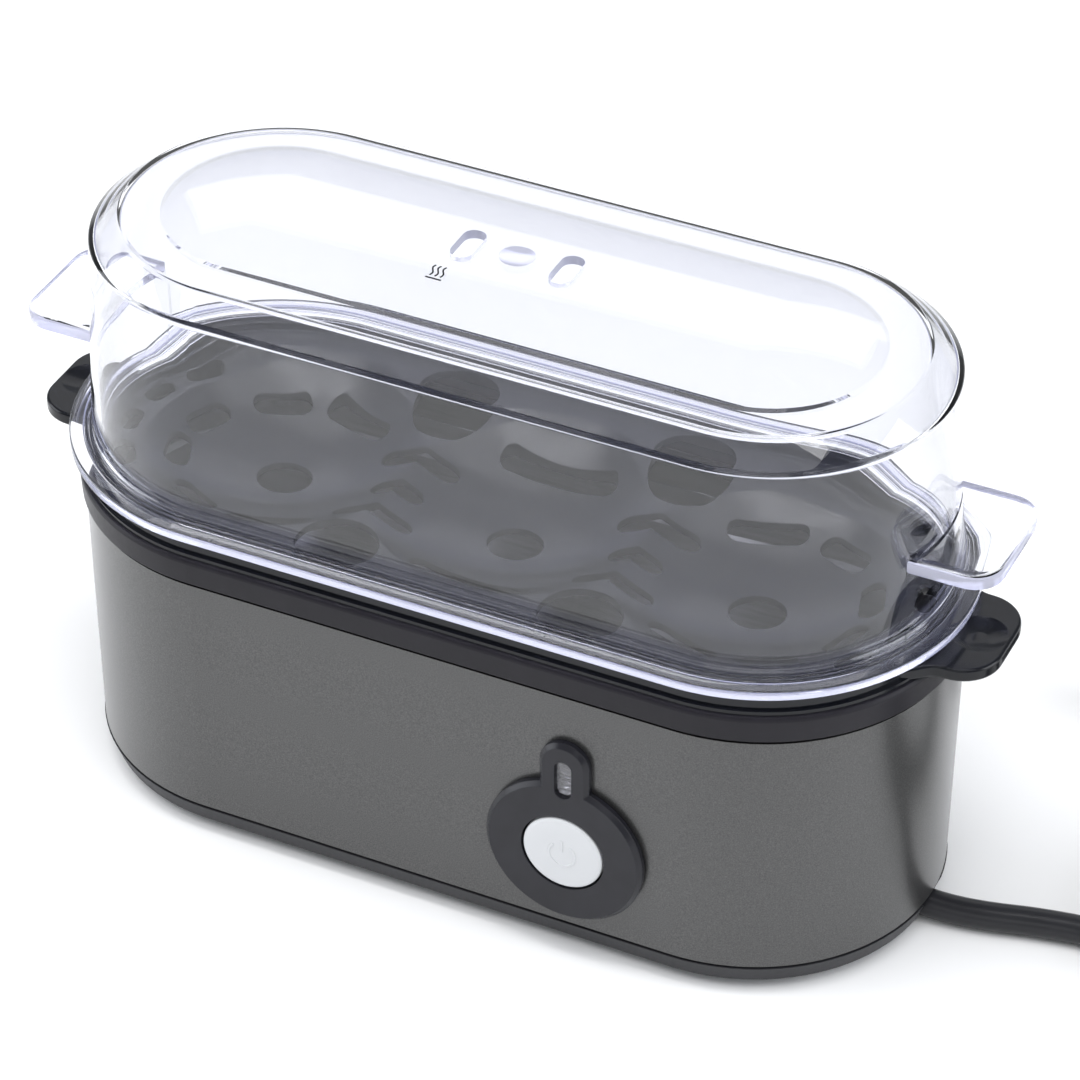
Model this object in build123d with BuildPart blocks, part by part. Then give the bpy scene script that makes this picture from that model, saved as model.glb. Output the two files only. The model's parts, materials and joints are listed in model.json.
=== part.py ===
"""Three-egg steam cooker, in millimetres.

Frame: origin on the resting surface under the middle of the body, +Z up, the long side along X and the
control on the -Y side. Almost every casing is an obround: two half rounds whose centres stand at
x = +-END and the straight walls between them, so a casing is an outline of (radius, height) points.
"""
from build123d import *
from math import atan2, cos, degrees, pi, radians, sin, tan
import os

os.makedirs("parts", exist_ok=True)

# ---- driving dimensions -------------------------------------------------------------------------------
END = 54.0  # centre of each rounded end, and the spacing of the egg seats
FOOT_H = 3.0  # the rubber feet lift the body off the table
GAP = 0.1  # faces of different bodies that rest on each other

BASE_R, BASE_TOP_R, BASE_TOP = 40.4, 41.9, 7.2
FLOOR_T = 2.2
SPIGOT_R, SPIGOT_T, SPIGOT_TOP = 40.35, 1.5, 11.0
FLOOR_TOP = FOOT_H + FLOOR_T

SLEEVE_LOW, SLEEVE_HIGH = 7.7, 67.15
SLEEVE_LOW_R, SLEEVE_HIGH_R, SLEEVE_T = 41.75, 42.4, 1.0

COLLAR_LOW, COLLAR_TOP = 68.35, 74.4
COLLAR_LOW_R, COLLAR_TOP_R = 43.2, 43.5
COLLAR_BORE = 40.7
NECK_R, NECK_LOW, NECK_BORE = 41.0, 58.0, 39.4
LEDGE_R, LEDGE_TOP, LEDGE_T = 37.6, 65.0, 2.0

SEAL_T = 0.8
DISH_T = 0.8
DISH_WALL_R = 37.1
DISH_FLANGE_R = 40.3
DISH_FLOOR = 58.0
STUD_X, STUD_R, STUD_LOW = 42.0, 2.0, 41.5

TRAY_FLANGE_LOW, TRAY_FLANGE_TOP, TRAY_FLANGE_R = COLLAR_TOP + GAP, 75.4, 42.6
TRAY_WALL_R, TRAY_WALL_T, TRAY_WALL_TOP = 41.9, 1.6, 80.1
TRAY_SKIRT_R, TRAY_SKIRT_LOW = 39.3, 71.0
TRAY_FLOOR_TOP, TRAY_FLOOR_T = 77.0, 1.8
SEAT_SPHERE_R, SEAT_RIM_R, SEAT_T = 52.0, 30.0, 1.7
SEAT_CENTRE_Z = TRAY_FLOOR_TOP + (SEAT_SPHERE_R**2 - SEAT_RIM_R**2) ** 0.5
HANDLE_X, HANDLE_HALF, HANDLE_CORNER = 108.0, 13.2, 8.5
HANDLE_LOW, HANDLE_TOP, HANDLE_EDGE = 74.5, 77.5, 0.7
HANDLE_NECK_X, HANDLE_ROOT_X, HANDLE_ROOT_HALF, HANDLE_FLARE = 97.0, 91.6, 18.2, 4.5

LID_FLANGE_R, LID_FLANGE_LOW, LID_FLANGE_TOP = 45.1, TRAY_WALL_TOP + GAP, 82.4
LID_RIB_R, LID_RIB_LOW = 39.9, 78.2
LID_WALL_R, LID_SHOULDER_R, LID_SHOULDER_Z = 40.4, 38.4, 129.2
LID_RIDGE_R, LID_RIDGE_Z = 32.2, 134.1
LID_PANEL_R, LID_PANEL_Z, LID_TOP = 23.6, 134.3, 138.0
LID_T = 2.0
TAB_X, TAB_HALF, TAB_CORNER, TAB_TOP, TAB_T = 108.5, 15.0, 6.5, 102.0, 2.8
VENT_X, VENT_W, VENT_L = 10.8, 4.8, 10.5

BUTTON_X, BUTTON_Z, BUTTON_R, BUTTON_FACE_Y = 31.2, 28.4, 8.9, -45.0
BEZEL_R, BEZEL_NECK_HALF, BEZEL_TOP, BEZEL_FACE_Y = 17.5, 5.5, 56.5, -44.4
BEZEL_BACK_Y, BEZEL_BOSS_R, BEZEL_BOSS_HALF, BEZEL_BOSS_BACK_Y = -42.3, 15.0, 3.6, -38.2
WINDOW_W, WINDOW_LOW, WINDOW_HIGH = 3.8, 42.8, 52.2
CARRIER_Y, CARRIER_T = -38.1, 1.6

PILLAR_R, PILLAR_AT = 3.6, 36.4
PILLAR_ANGLES = (45, 135, 225, 315)
SCREW_R = 1.5

CORD_D = 6.2
CORD_R = CORD_D / 2
CORD_Z = 0.3 + CORD_R  # the cord's centre line where it lies on the table
GLAND_Z = 8.6
GLAND_IN, GLAND_OUT = 38.0, 62.0
CHANNEL_HALF, CHANNEL_T, CHANNEL_TOP = 6.0, 1.6, 14.0

WIRE_R = 1.1


# ---- helpers ------------------------------------------------------------------------------------------
def ring(points, ends_only=False, mode=Mode.ADD):
    """Carry a closed (radius, height) outline round the obround, in the part that is being built."""
    if not ends_only:
        for side in (-1, 1):
            with BuildSketch(Plane.YZ.offset(-END)) as straight:
                with BuildLine():
                    Polyline([(side * r, z) for r, z in points], close=True)
                make_face()
            extrude(straight.sketch, amount=2 * END, mode=mode)
    for end in (-1, 1):
        with BuildSketch(Plane.YZ.offset(end * END)) as half_round:
            with BuildLine():
                Polyline([(-end * r, z) for r, z in points], close=True)
            make_face()
        revolve(half_round.sketch, Axis((end * END, 0, 0), (0, 0, 1)), 180, mode=mode)


def plate(radius, low, high, mode=Mode.ADD):
    """A solid obround plate from z = low to z = high."""
    with BuildSketch(Plane.XY.offset(low)) as outline:
        SlotCenterToCenter(2 * END, 2 * radius)
    extrude(outline.sketch, amount=high - low, mode=mode)


def block(low, high, mode=Mode.ADD):
    """A box from its lowest corner to its highest corner."""
    size = [b - a for a, b in zip(low, high)]
    centre = tuple((a + b) / 2 for a, b in zip(low, high))
    with Locations(centre):
        Box(*size, mode=mode)


def rod(start, end, radius, mode=Mode.ADD):
    """A round bar between two points."""
    path = Vector(*end) - Vector(*start)
    with BuildSketch(Plane(origin=start, z_dir=path)) as section:
        Circle(radius)
    extrude(section.sketch, amount=path.length, mode=mode)


def corner_radii(points, share=0.45, most=None):
    """The largest arc that each corner of a route can take, from its shorter run and its turn."""
    radii = []
    for before, here, after in zip(points, points[1:], points[2:]):
        run_in = Vector(*here) - Vector(*before)
        run_out = Vector(*after) - Vector(*here)
        half_turn = radians(run_in.get_angle(run_out)) / 2
        radius = share * min(run_in.length, run_out.length) / tan(half_turn)
        radii.append(radius if most is None else min(radius, most))
    return radii


def tube(points, radius, most=None):
    """A round cord or wire along straight runs joined by tangent arcs; returns its path's length."""
    radii = corner_radii(points, most=most)
    with BuildLine() as route:
        FilletPolyline(points, radius=radii)
    path = route.wire()
    start_dir = Vector(*points[1]) - Vector(*points[0])
    with BuildSketch(Plane(origin=points[0], z_dir=start_dir)) as section:
        Circle(radius)
    sweep(section.sketch, path)
    return path.length, radii


def save(piece, name):
    """Label a finished piece and write it under its node name."""
    piece.part.label = name
    export_step(piece.part, f"parts/{name}.step")


def around_ends(radius, angles):
    """Points on a circle round the two end centres, at angles measured from +X."""
    points = []
    for angle in angles:
        end = END if cos(radians(angle)) > 0 else -END
        points.append((end + radius * cos(radians(angle)), radius * sin(radians(angle))))
    return points


pillars = around_ends(PILLAR_AT, PILLAR_ANGLES)

# ---- base cover with the cord channel -----------------------------------------------------------------
FEET = [(x, y) for x in (-62, 62) for y in (-22, 22)]
FOOT_R, FOOT_RECESS = 6.0, 1.2

with BuildPart() as base_cover:
    ring([(0, FOOT_H), (BASE_R, FOOT_H), (BASE_TOP_R, BASE_TOP), (SPIGOT_R - SPIGOT_T, BASE_TOP),
          (SPIGOT_R - SPIGOT_T, FLOOR_TOP), (0, FLOOR_TOP)])
    ring([(SPIGOT_R - SPIGOT_T, FLOOR_TOP), (SPIGOT_R, FLOOR_TOP), (SPIGOT_R, SPIGOT_TOP),
          (SPIGOT_R - SPIGOT_T, SPIGOT_TOP)])
    for x, y in pillars:
        rod((x, y, FLOOR_TOP - 1), (x, y, SPIGOT_TOP), PILLAR_R)
    # the channel's roof and walls stand on the floor, then the cord's way is cut through them
    block((GLAND_IN - CHANNEL_T, -CHANNEL_HALF - CHANNEL_T, FOOT_H),
          (END + BASE_R - 2, CHANNEL_HALF + CHANNEL_T, CHANNEL_TOP + CHANNEL_T))
    block((GLAND_IN, -CHANNEL_HALF, 0), (END + BASE_R - 3.6, CHANNEL_HALF, CHANNEL_TOP), mode=Mode.SUBTRACT)
    block((GLAND_IN + 20, -CHANNEL_HALF + 1, 0), (END + BASE_TOP_R + 1, CHANNEL_HALF - 1, BASE_TOP),
          mode=Mode.SUBTRACT)
    ring([(SPIGOT_R, BASE_TOP), (SPIGOT_R + 6, BASE_TOP), (SPIGOT_R + 6, 20), (SPIGOT_R, 20)],
         mode=Mode.SUBTRACT)
    rod((GLAND_IN - 3, 0, GLAND_Z), (GLAND_IN + 1, 0, GLAND_Z), 3.45, mode=Mode.SUBTRACT)
    for x, y in FEET:
        rod((x, y, FOOT_H - 1), (x, y, FOOT_H + FOOT_RECESS), FOOT_R + 0.1, mode=Mode.SUBTRACT)
    for x, y in pillars:
        rod((x, y, FOOT_H - 1), (x, y, FOOT_H + 2.6), 3.0, mode=Mode.SUBTRACT)
        rod((x, y, FOOT_H), (x, y, SPIGOT_TOP + 1), SCREW_R + 0.2, mode=Mode.SUBTRACT)
save(base_cover, "base_cover")

with BuildPart() as rubber_feet:
    for x, y in FEET:
        rod((x, y, 0), (x, y, FOOT_H + FOOT_RECESS), FOOT_R)
    fillet(rubber_feet.faces().group_by(Axis.Z)[0].edges(), 0.8)
save(rubber_feet, "rubber_feet")

with BuildPart() as cover_screws:
    for x, y in pillars:
        rod((x, y, FOOT_H + 0.6), (x, y, FOOT_H + 2.6), 2.8)
        rod((x, y, FOOT_H + 2), (x, y, 20), SCREW_R)
        block((x - 2, y - 0.3, FOOT_H), (x + 2, y + 0.3, FOOT_H + 1.3), mode=Mode.SUBTRACT)
        block((x - 0.3, y - 2, FOOT_H), (x + 0.3, y + 2, FOOT_H + 1.3), mode=Mode.SUBTRACT)
save(cover_screws, "cover_screws")


# ---- metal sleeve -------------------------------------------------------------------------------------
def control_outline(disc_r, neck_half, top):
    """The keyhole shape of the control, drawn in the sketch that is open."""
    with BuildSketch(Plane.XZ) as outline:
        with Locations((BUTTON_X, BUTTON_Z)):
            Circle(disc_r)
        with Locations((BUTTON_X, (BUTTON_Z + top - neck_half) / 2)):
            Rectangle(2 * neck_half, top - neck_half - BUTTON_Z)
        with Locations((BUTTON_X, top - neck_half)):
            Circle(neck_half)
    return outline.sketch


def across(sketch, near_y, far_y, mode=Mode.ADD):
    """Extrude a sketch on the XZ plane between two depths."""
    low, high = sorted((near_y, far_y))
    extrude(sketch.moved(Location((0, high, 0))), amount=high - low, dir=(0, -1, 0), mode=mode)


with BuildPart() as sleeve:
    ring([(SLEEVE_LOW_R - SLEEVE_T, SLEEVE_LOW), (SLEEVE_LOW_R, SLEEVE_LOW), (SLEEVE_HIGH_R, SLEEVE_HIGH),
          (SLEEVE_HIGH_R - SLEEVE_T, SLEEVE_HIGH)])
    opening = control_outline(BEZEL_BOSS_R + 0.15, BEZEL_BOSS_HALF + 0.15, BEZEL_TOP - 1.8)
    across(opening, -50, -35, mode=Mode.SUBTRACT)
save(sleeve, "sleeve")

# ---- collar that carries the dish and the tray --------------------------------------------------------
with BuildPart() as top_collar:
    ring([(COLLAR_BORE, COLLAR_TOP), (COLLAR_TOP_R - 1.0, COLLAR_TOP), (COLLAR_TOP_R - 0.5, COLLAR_TOP - 0.13),
          (COLLAR_TOP_R - 0.13, COLLAR_TOP - 0.5), (COLLAR_TOP_R, COLLAR_TOP - 1.0),
          (COLLAR_LOW_R, COLLAR_LOW), (NECK_R, COLLAR_LOW), (NECK_R, NECK_LOW), (NECK_BORE, NECK_LOW),
          (NECK_BORE, LEDGE_TOP - LEDGE_T), (LEDGE_R, LEDGE_TOP - LEDGE_T), (LEDGE_R, LEDGE_TOP),
          (COLLAR_BORE, LEDGE_TOP)])
    ring([(NECK_BORE, 46), (NECK_R - 0.2, 46), (NECK_R - 0.2, NECK_LOW + 0.5), (NECK_BORE, NECK_LOW + 0.5)],
         ends_only=True)
    for x, y in pillars:
        rod((x, y, SPIGOT_TOP + GAP), (x, y, 57), PILLAR_R)
        rod((x, y, SPIGOT_TOP), (x, y, 22), SCREW_R + 0.05, mode=Mode.SUBTRACT)
save(top_collar, "top_collar")

# ---- heating dish and what is clamped under it --------------------------------------------------------
FLANGE_LOW = LEDGE_TOP + SEAL_T
STUDS = [(-STUD_X, 0), (STUD_X, 0)]

with BuildPart() as dish_seal:
    ring([(LEDGE_R + 0.4, LEDGE_TOP), (DISH_FLANGE_R, LEDGE_TOP), (DISH_FLANGE_R, FLANGE_LOW),
          (LEDGE_R + 0.4, FLANGE_LOW)])
save(dish_seal, "dish_seal")

with BuildPart() as heating_dish:
    ring([(0, DISH_FLOOR - DISH_T), (DISH_WALL_R - 1.5, DISH_FLOOR - DISH_T), (DISH_WALL_R, DISH_FLOOR + 0.7),
          (DISH_WALL_R, FLANGE_LOW), (DISH_FLANGE_R, FLANGE_LOW), (DISH_FLANGE_R, FLANGE_LOW + DISH_T),
          (DISH_WALL_R - DISH_T, FLANGE_LOW + DISH_T), (DISH_WALL_R - DISH_T, DISH_FLOOR + 1.1),
          (DISH_WALL_R - 1.9, DISH_FLOOR), (0, DISH_FLOOR)])
    for x, y in STUDS:
        rod((x, y, STUD_LOW), (x, y, DISH_FLOOR - DISH_T + 0.2), STUD_R)
save(heating_dish, "heating_dish")

SPREADER_TOP, SPREADER_T = DISH_FLOOR - DISH_T, 1.8
SPREADER_LOW = SPREADER_TOP - SPREADER_T
ELEMENT_R = 3.2
ELEMENT_Z = SPREADER_LOW - ELEMENT_R
ELEMENT_X, ELEMENT_Y, PIN_X = 60.0, 16.0, 9.0
PIN_TOP, PIN_LOW = 42.0, 33.0

with BuildPart() as heat_spreader:
    with BuildSketch(Plane.XY.offset(SPREADER_LOW)) as spreader_outline:
        RectangleRounded(132, 46, 12)
        with Locations(*STUDS):
            Circle(STUD_R + 0.3, mode=Mode.SUBTRACT)
    extrude(amount=SPREADER_T)
save(heat_spreader, "heat_spreader")

element_route = [(-PIN_X, ELEMENT_Y, PIN_TOP), (-PIN_X, ELEMENT_Y, ELEMENT_Z),
                 (-ELEMENT_X, ELEMENT_Y, ELEMENT_Z), (-ELEMENT_X, -ELEMENT_Y, ELEMENT_Z),
                 (ELEMENT_X, -ELEMENT_Y, ELEMENT_Z), (ELEMENT_X, ELEMENT_Y, ELEMENT_Z),
                 (PIN_X, ELEMENT_Y, ELEMENT_Z), (PIN_X, ELEMENT_Y, PIN_TOP)]
with BuildPart() as heating_element:
    tube(element_route, ELEMENT_R - 0.05, most=13)
save(heating_element, "heating_element")

with BuildPart() as element_pins:
    for x in (-PIN_X, PIN_X):
        rod((x, ELEMENT_Y, PIN_LOW), (x, ELEMENT_Y, PIN_TOP), 1.0)
save(element_pins, "element_pins")

with BuildPart() as element_beads:
    for x in (-PIN_X, PIN_X):
        rod((x, ELEMENT_Y, PIN_TOP - 5), (x, ELEMENT_Y, PIN_TOP), 2.6)
        rod((x, ELEMENT_Y, PIN_TOP - 6), (x, ELEMENT_Y, PIN_TOP + 1), 1.05, mode=Mode.SUBTRACT)
save(element_beads, "element_beads")

BAR_T, BAR_HALF, BAR_OUT = 1.6, 6.0, 39.0
BAR_TOP = ELEMENT_Z - ELEMENT_R
BAR_HIGH = LEDGE_TOP - LEDGE_T
with BuildPart() as clamp_bars:
    for x, _ in STUDS:
        block((x - BAR_HALF, -BAR_OUT, BAR_TOP - BAR_T), (x + BAR_HALF, BAR_OUT, BAR_TOP))
        for side in (-1, 1):
            leg = sorted((side * BAR_OUT, side * (BAR_OUT - BAR_T)))
            block((x - BAR_HALF, leg[0], BAR_TOP - BAR_T), (x + BAR_HALF, leg[1], BAR_HIGH))
        rod((x, 0, BAR_TOP - 5), (x, 0, BAR_TOP + 1), STUD_R + 0.3, mode=Mode.SUBTRACT)
save(clamp_bars, "clamp_bars")

with BuildPart() as clamp_nuts:
    with BuildSketch(Plane.XY.offset(BAR_TOP - BAR_T)):
        with Locations(*STUDS):
            RegularPolygon(3.9, 6)
            Circle(STUD_R + 0.05, mode=Mode.SUBTRACT)
    extrude(amount=-3.2)
save(clamp_nuts, "clamp_nuts")

THERMOSTAT_R, THERMOSTAT_H = 8.0, 8.0
THERMOSTAT_LOW = SPREADER_LOW - THERMOSTAT_H
with BuildPart() as thermostat:
    rod((0, 0, THERMOSTAT_LOW), (0, 0, SPREADER_LOW - 2.4), THERMOSTAT_R)
    rod((0, 0, SPREADER_LOW - 2.4), (0, 0, SPREADER_LOW), THERMOSTAT_R - 0.8)
    for side in (-1, 1):
        y = side * (THERMOSTAT_R + 3)
        block((-2.4, min(0, y), THERMOSTAT_LOW + 3), (2.4, max(0, y), THERMOSTAT_LOW + 3.8))
save(thermostat, "thermostat")

STRIP_HALF, STRIP_T, STRIP_X = 4.0, 1.0, 22.0
with BuildPart() as thermostat_bracket:
    block((-STRIP_X, -STRIP_HALF, THERMOSTAT_LOW - STRIP_T), (STRIP_X, STRIP_HALF, THERMOSTAT_LOW))
    for side in (-1, 1):
        leg = sorted((side * STRIP_X, side * (STRIP_X - STRIP_T)))
        block((leg[0], -STRIP_HALF, THERMOSTAT_LOW - STRIP_T), (leg[1], STRIP_HALF, SPREADER_LOW))
save(thermostat_bracket, "thermostat_bracket")

FUSE_X, FUSE_Y, FUSE_Z, FUSE_R, FUSE_LEN = 11.5, 7.5, 49.5, 1.9, 9.0
with BuildPart() as thermal_fuse:
    rod((FUSE_X, FUSE_Y, FUSE_Z), (FUSE_X + FUSE_LEN, FUSE_Y, FUSE_Z), FUSE_R)
    chamfer(thermal_fuse.edges().filter_by(GeomType.CIRCLE), 0.6)
save(thermal_fuse, "thermal_fuse")

# ---- control: bezel, button, switch, lamp -------------------------------------------------------------
WINDOW_FACE_Y, WINDOW_BACK_Y = -43.5, -40.4


def window_outline(clearance):
    """The lamp window's upright oblong on the XZ plane."""
    with BuildSketch(Plane.XZ) as outline:
        with Locations((BUTTON_X, (WINDOW_LOW + WINDOW_HIGH) / 2)):
            SlotOverall(WINDOW_HIGH - WINDOW_LOW - 2 * clearance, WINDOW_W - 2 * clearance, rotation=90)
    return outline.sketch


with BuildPart() as control_bezel:
    across(control_outline(BEZEL_R, BEZEL_NECK_HALF, BEZEL_TOP), BEZEL_BACK_Y, BEZEL_FACE_Y)
    chamfer(control_bezel.faces().sort_by(Axis.Y)[0].edges(), 0.9)
    across(control_outline(BEZEL_BOSS_R, BEZEL_BOSS_HALF, BEZEL_TOP - 2), BEZEL_BACK_Y - 0.5,
           BEZEL_BOSS_BACK_Y)
    rod((BUTTON_X, -50, BUTTON_Z), (BUTTON_X, -30, BUTTON_Z), BUTTON_R + 0.35, mode=Mode.SUBTRACT)
    across(window_outline(0), -50, -30, mode=Mode.SUBTRACT)
save(control_bezel, "control_bezel")

with BuildPart() as lamp_window:
    across(window_outline(0.05), WINDOW_FACE_Y, WINDOW_BACK_Y)
save(lamp_window, "lamp_window")

BUTTON_BACK_Y, STEM_R, STEM_BACK_Y = -40.6, 3.0, -36.2
with BuildPart() as power_button:
    rod((BUTTON_X, BUTTON_BACK_Y, BUTTON_Z), (BUTTON_X, BUTTON_FACE_Y + 0.15, BUTTON_Z), BUTTON_R)
    fillet(power_button.faces().sort_by(Axis.Y)[0].edges(), 0.9)
    rod((BUTTON_X, STEM_BACK_Y, BUTTON_Z), (BUTTON_X, BUTTON_BACK_Y, BUTTON_Z), STEM_R)
save(power_button, "power_button")

CARRIER_HALF = 13.0
with BuildPart() as switch_carrier:
    block((BUTTON_X - CARRIER_HALF, CARRIER_Y, BUTTON_Z - CARRIER_HALF),
          (BUTTON_X + CARRIER_HALF, CARRIER_Y + CARRIER_T, BUTTON_Z + CARRIER_HALF))
    rod((BUTTON_X, -45, BUTTON_Z), (BUTTON_X, -30, BUTTON_Z), STEM_R + 0.5, mode=Mode.SUBTRACT)
save(switch_carrier, "switch_carrier")

SPRING_R, SPRING_WIRE_R = 4.3, 0.3
SPRING_START, SPRING_END = BUTTON_BACK_Y + SPRING_WIRE_R, CARRIER_Y - SPRING_WIRE_R
SPRING_TURNS = 2.5
with BuildPart() as button_spring:
    with BuildLine() as coil:
        Helix(pitch=(SPRING_END - SPRING_START) / SPRING_TURNS, height=SPRING_END - SPRING_START,
              radius=SPRING_R, center=(BUTTON_X, SPRING_START, BUTTON_Z), direction=(0, 1, 0))
    with BuildSketch(Plane(origin=coil.wire() @ 0, z_dir=coil.wire() % 0)) as spring_section:
        Circle(SPRING_WIRE_R)
    sweep(spring_section.sketch, coil.wire(), is_frenet=True)
save(button_spring, "button_spring")

SWITCH_FRONT_Y, SWITCH_BACK_Y = CARRIER_Y + CARRIER_T, -20.0
with BuildPart() as power_switch:
    block((BUTTON_X - 9, SWITCH_FRONT_Y, BUTTON_Z - 8), (BUTTON_X + 9, SWITCH_BACK_Y, BUTTON_Z + 8))
    block((BUTTON_X - 3.4, SWITCH_FRONT_Y - 1, BUTTON_Z - 3.4), (BUTTON_X + 3.4, SWITCH_FRONT_Y + 9,
          BUTTON_Z + 3.4), mode=Mode.SUBTRACT)
    for x in (-5, 5):
        block((BUTTON_X + x - 2.4, SWITCH_BACK_Y, BUTTON_Z - 0.4),
              (BUTTON_X + x + 2.4, SWITCH_BACK_Y + 6, BUTTON_Z + 0.4))
save(power_switch, "power_switch")

with BuildPart() as switch_plunger:
    block((BUTTON_X - 3, STEM_BACK_Y, BUTTON_Z - 3), (BUTTON_X + 3, SWITCH_FRONT_Y + 5.5, BUTTON_Z + 3))
save(switch_plunger, "switch_plunger")

LAMP_Y, LAMP_LOW, LAMP_HIGH, LAMP_R = -34.3, 43.0, 54.0, 2.5
with BuildPart() as neon_lamp:
    rod((BUTTON_X, LAMP_Y, LAMP_LOW), (BUTTON_X, LAMP_Y, LAMP_HIGH), LAMP_R)
    fillet(neon_lamp.faces().sort_by(Axis.Z)[-1].edges(), 1.8)
save(neon_lamp, "neon_lamp")

with BuildPart() as lamp_holder:
    rod((BUTTON_X, LAMP_Y, LAMP_LOW - 1.2), (BUTTON_X, LAMP_Y, LAMP_LOW + 4), LAMP_R + 1.2)
    rod((BUTTON_X, LAMP_Y, LAMP_LOW), (BUTTON_X, LAMP_Y, LAMP_LOW + 5), LAMP_R + 0.05, mode=Mode.SUBTRACT)
save(lamp_holder, "lamp_holder")

# ---- mains entry and wiring ---------------------------------------------------------------------------
BLOCK_LOW, BLOCK_HIGH = (-34, -10, FLOOR_TOP), (-6, 10, 18)
with BuildPart() as terminal_block:
    block(BLOCK_LOW, BLOCK_HIGH)
    for x in (-27, -13):
        for y in (-6, 0, 6):
            rod((x, y, 10), (x, y, 19), 1.6, mode=Mode.SUBTRACT)
save(terminal_block, "terminal_block")

with BuildPart() as cord_gland:
    rod((GLAND_IN - CHANNEL_T - 1.5, 0, GLAND_Z), (GLAND_IN - CHANNEL_T, 0, GLAND_Z), 3.4)
    rod((GLAND_IN - CHANNEL_T, 0, GLAND_Z), (GLAND_IN, 0, GLAND_Z), 3.4)
    with BuildSketch(Plane.XZ) as boot:
        with BuildLine():
            Polyline([(GLAND_IN, GLAND_Z), (GLAND_IN, GLAND_Z + 5), (GLAND_IN + 3, GLAND_Z + 5),
                      (GLAND_IN + 3, GLAND_Z + 4.7), (GLAND_OUT, GLAND_Z + 3.7), (GLAND_OUT, GLAND_Z)],
                     close=True)
        make_face()
    revolve(boot.sketch, Axis((0, 0, GLAND_Z), (1, 0, 0)), 360)
save(cord_gland, "cord_gland")

INNER_IN = 20.0
with BuildPart() as inner_cord:
    rod((INNER_IN, 0, GLAND_Z), (GLAND_IN - CHANNEL_T - 1.5, 0, GLAND_Z), CORD_R)
save(inner_cord, "inner_cord")

CLAMP_X, CLAMP_HALF = 27.0, 3.5
CLAMP_SCREWS = [(CLAMP_X, -7.5), (CLAMP_X, 7.5)]
with BuildPart() as cord_clamp:
    block((CLAMP_X - CLAMP_HALF, -10.5, FLOOR_TOP), (CLAMP_X + CLAMP_HALF, 10.5, GLAND_Z + CORD_R + 1.6))
    rod((CLAMP_X - 5, 0, GLAND_Z), (CLAMP_X + 5, 0, GLAND_Z), CORD_R + 0.05, mode=Mode.SUBTRACT)
    block((CLAMP_X - 5, -CORD_R - 0.05, FLOOR_TOP - 1), (CLAMP_X + 5, CORD_R + 0.05, GLAND_Z),
          mode=Mode.SUBTRACT)
    for x, y in CLAMP_SCREWS:
        rod((x, y, FLOOR_TOP - 1), (x, y, 20), 1.3, mode=Mode.SUBTRACT)
save(cord_clamp, "cord_clamp")

with BuildPart() as clamp_screws:
    for x, y in CLAMP_SCREWS:
        rod((x, y, FLOOR_TOP), (x, y, GLAND_Z + CORD_R + 1.6), 1.25)
        rod((x, y, GLAND_Z + CORD_R + 1.6), (x, y, GLAND_Z + CORD_R + 3.2), 2.3)
save(clamp_screws, "clamp_screws")

with BuildPart() as live_wires:
    tube([(INNER_IN, 1.6, GLAND_Z), (13, 1.6, GLAND_Z), (1, 6, GLAND_Z), (-6, 6, GLAND_Z)], WIRE_R)
    tube([(-6, 3, 14), (2, 3, 14), (20, -2, 24), (26.2, -6, BUTTON_Z), (26.2, -14, BUTTON_Z)], WIRE_R, most=6)
    tube([(36.2, -14, BUTTON_Z), (36.2, -7, BUTTON_Z), (28, 2, 36), (4, 9, 40), (0, 9.5, 43), (0, 9.5, 50.4)],
         WIRE_R, most=6)
save(live_wires, "live_wires")

with BuildPart() as neutral_wires:
    tube([(INNER_IN, -1.6, GLAND_Z), (13, -1.6, GLAND_Z), (1, -6, GLAND_Z), (-6, -6, GLAND_Z)], WIRE_R)
    tube([(-20, 10, 13), (-20, 15, 13), (-16, 19, 21), (-PIN_X, ELEMENT_Y, 27), (-PIN_X, ELEMENT_Y, PIN_LOW)],
         WIRE_R, most=6)
save(neutral_wires, "neutral_wires")

with BuildPart() as earth_wire:
    tube([(-34, 0, 12), (-40, 0, 12), (-48, -5, 20), (-46, -3, 32), (-STUD_X, 0, 36), (-STUD_X, 0, STUD_LOW)],
         WIRE_R, most=6)
save(earth_wire, "earth_wire")

with BuildPart() as lamp_leads:
    for side in (-1, 1):
        tube([(BUTTON_X + side, LAMP_Y, LAMP_LOW - 1.2), (BUTTON_X + side, LAMP_Y, 39.5),
              (BUTTON_X + side * 4, -30, 38.2), (BUTTON_X + side * 5, -26, 38.6),
              (BUTTON_X + side * 5, -26, BUTTON_Z + 8)], 0.45, most=3)
save(lamp_leads, "lamp_leads")


# ---- egg tray -----------------------------------------------------------------------------------------
def tab_outline(tip, half, corner, inner, z):
    """A rounded finger tab on the +X end, on the plane at height z."""
    with BuildSketch(Plane.XY.offset(z)) as outline:
        with Locations(((inner + tip) / 2, 0)):
            Rectangle(tip - inner, 2 * half)
        fillet(outline.vertices().sort_by(Axis.X)[-2:], corner)
    return outline.sketch


def slot(x, y, length, width, angle, low, high):
    """Cut an oblong steam slot that lies at an angle from +X."""
    with BuildSketch(Plane.XY.offset(low)) as oblong:
        with Locations(Location((x, y, 0), (0, 0, angle))):
            SlotOverall(length, width)
    extrude(oblong.sketch, amount=high - low, mode=Mode.SUBTRACT)


def finger_hollow(x, top, radius, depth):
    """Press a shallow round hollow into the flat top of a tab."""
    ball = Pos(x, 0, top + radius - depth) * Sphere(radius, mode=Mode.PRIVATE)
    add(ball & (Pos(x, 0, top) * Box(12.5, 16, 2, mode=Mode.PRIVATE)), mode=Mode.SUBTRACT)


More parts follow.
